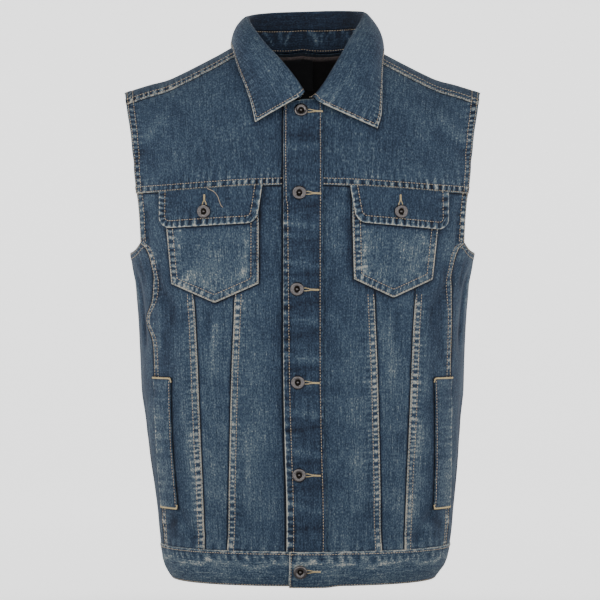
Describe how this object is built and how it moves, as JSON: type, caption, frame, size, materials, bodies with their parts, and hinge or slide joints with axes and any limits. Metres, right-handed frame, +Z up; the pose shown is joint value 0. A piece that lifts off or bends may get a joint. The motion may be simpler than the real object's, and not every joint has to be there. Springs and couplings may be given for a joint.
{
  "type": "denim vest",
  "caption": "Sleeveless denim trucker vest, filled out as worn and buttoned, with fold-down collar, yokes, flapped chest pockets, hand pockets and waistband.",
  "frame": {"origin": "midway between the two side neck points, at the height where the wearer's shoulders carry the vest", "axes": "+Z up along the body, -Y out of the front, +X to the wearer's left"},
  "size_m": [0.4512, 0.2607, 0.7248],
  "materials": {
    "denim": "worn indigo denim twill, matte",
    "dark_tape": "dark woven facing and bare woven label, matte",
    "button_metal": "antique dark metal, worn bright on the rims"
  },
  "bodies": {
    "root": {"front_centre_right": "denim", "front_centre_left": "denim", "front_middle_right": "denim", "front_middle_left": "denim", "front_side_right": "denim", "front_side_left": "denim", "side_panel_right": "denim", "side_panel_left": "denim", "back_side_right": "denim", "back_side_left": "denim", "back_centre": "denim", "front_yoke_right": "denim", "front_yoke_left": "denim", "back_yoke": "denim", "button_stand": "denim", "placket": "denim", "chest_pocket_right": "denim", "chest_pocket_left": "denim", "pocket_flap_right": "denim", "pocket_flap_left": "denim", "hand_welt_right": "denim", "hand_welt_left": "denim", "waistband_right": "denim", "waistband_left": "denim", "waistband_back": "denim", "collar_stand": "denim", "collar_fall": "denim", "neck_facing": "dark_tape", "neck_label": "dark_tape", "button_1": "button_metal", "button_2": "button_metal", "button_3": "button_metal", "button_4": "button_metal", "button_5": "button_metal", "button_6": "button_metal", "flap_button_right": "button_metal", "flap_button_left": "button_metal"}
  },
  "joints": []
}
